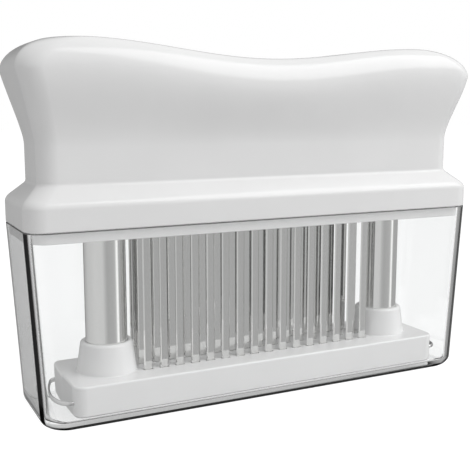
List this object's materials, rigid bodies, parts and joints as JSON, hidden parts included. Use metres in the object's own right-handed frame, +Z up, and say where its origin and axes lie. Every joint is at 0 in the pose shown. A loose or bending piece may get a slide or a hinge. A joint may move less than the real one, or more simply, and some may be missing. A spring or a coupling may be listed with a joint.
{
  "type": "blade meat tenderizer",
  "caption": "Hand-held blade meat tenderizer: a moulded handle with rows of steel blades, a sprung slotted foot plate on guide tubes, and a clear storage cover over the blades.",
  "frame": {"origin": "centre of the clear cover's flat underside, on which the covered tool stands", "axes": "+X along the tool's long side, -Y to the front, +Z up towards the handle's crest"},
  "size_m": [0.1464, 0.033, 0.1055],
  "materials": {
    "white_plastic": "smooth moulded light grey-white plastic, soft gloss",
    "foot_plastic": "smooth moulded light grey-white plastic, satin gloss",
    "inner_plastic": "moulded off-white plastic, matt",
    "clear_plastic": "clear injection-moulded styrene, polished",
    "blade_steel": "ground and polished stainless steel strip",
    "tube_steel": "drawn stainless steel tube, satin polish",
    "spring_steel": "stainless spring wire",
    "clip_steel": "bright stainless spring wire",
    "screw_steel": "stainless self-tapping screws"
  },
  "bodies": {
    "cover": {"clear_cover": "clear_plastic"},
    "tool": {"handle_body": "white_plastic", "base_plate": "white_plastic", "base_screws": "screw_steel", "blade_holder_front": "inner_plastic", "blade_holder_middle": "inner_plastic", "blade_holder_rear": "inner_plastic", "blades_front": "blade_steel", "blades_middle": "blade_steel", "blades_rear": "blade_steel", "blade_cap_front": "inner_plastic", "blade_cap_middle": "inner_plastic", "blade_cap_rear": "inner_plastic", "spring_left": "spring_steel", "spring_right": "spring_steel"},
    "foot": {"foot_plate": "foot_plastic", "guide_tube_left": "tube_steel", "guide_tube_right": "tube_steel", "tube_collar_left": "inner_plastic", "tube_collar_right": "inner_plastic"},
    "clip_left": {"wire_clip_left": "clip_steel"},
    "clip_right": {"wire_clip_right": "clip_steel"}
  },
  "joints": [
    {"name": "tool_lift", "type": "slide", "parent": "cover", "child": "tool", "axis": [0, 0, 1], "range_m": [0, 0.06]},
    {"name": "foot_press", "type": "slide", "parent": "tool", "child": "foot", "axis": [0, 0, 1], "range_m": [0, 0.031], "stiffness_N_per_m": 600, "springref_m": -0.01, "deforming": ["spring_left", "spring_right"]},
    {"name": "clip_left_pull", "type": "slide", "parent": "foot", "child": "clip_left", "axis": [-1, 0, 0], "range_m": [0, 0.0012]},
    {"name": "clip_right_pull", "type": "slide", "parent": "foot", "child": "clip_right", "axis": [1, 0, 0], "range_m": [0, 0.0012]}
  ]
}
